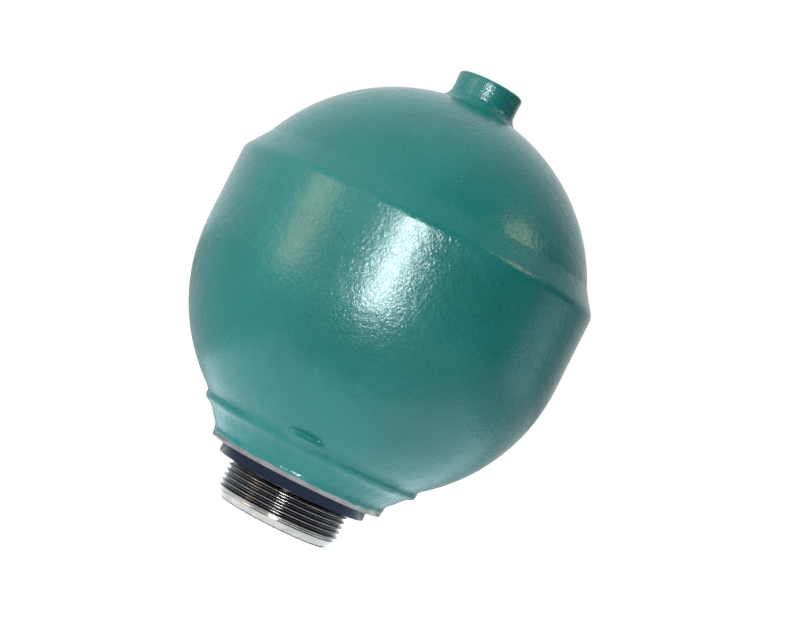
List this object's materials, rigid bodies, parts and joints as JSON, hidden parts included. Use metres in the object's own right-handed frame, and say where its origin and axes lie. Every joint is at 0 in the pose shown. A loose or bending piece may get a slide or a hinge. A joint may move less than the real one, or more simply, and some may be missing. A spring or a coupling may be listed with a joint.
{
  "type": "pressure accumulator",
  "caption": "Screw-in ball-shaped diaphragm accumulator: painted steel bowl and cap, threaded neck with a damper valve, and a filler boss on top.",
  "frame": {"origin": "centre of the neck's flat end, on which the part stands", "axes": "+Z along the axis of the ball, from the threaded neck up to the filler boss"},
  "size_m": [0.1042, 0.1042, 0.1315],
  "materials": {
    "green_paint": "semi-gloss teal green paint, lightly orange-peeled",
    "turned_steel": "turned, dark",
    "zinc_steel": "zinc plated",
    "plain_steel": "pressed, oiled",
    "spring_steel": "ground",
    "sintered_steel": "sintered",
    "copper": "annealed copper",
    "membrane_rubber": "moulded",
    "seal_rubber": "moulded"
  },
  "bodies": {
    "housing": {"lower_shell": "green_paint", "upper_cap": "green_paint", "neck_weld": "green_paint", "filler_boss": "green_paint", "boss_weld": "green_paint", "neck": "turned_steel", "filler_screw": "zinc_steel", "filler_seal": "copper", "membrane": "membrane_rubber", "clamp_ring": "plain_steel", "damper_body": "sintered_steel", "damper_seal": "seal_rubber", "compression_shim_1": "spring_steel", "compression_shim_2": "spring_steel", "compression_shim_3": "spring_steel", "compression_backing_washer": "zinc_steel", "rebound_shim_1": "spring_steel", "rebound_shim_2": "spring_steel", "rebound_shim_3": "spring_steel", "rebound_backing_washer": "zinc_steel", "damper_stud": "zinc_steel", "damper_nut": "zinc_steel", "retaining_ring": "spring_steel"},
    "button": {"membrane_button": "plain_steel"}
  },
  "joints": [
    {"name": "diaphragm_stroke", "type": "slide", "parent": "housing", "child": "button", "axis": [0, 0, 1], "range_m": [0, 0.06], "stiffness_N_per_m": 100, "springref_m": -0.01, "deforming": ["membrane"]}
  ]
}
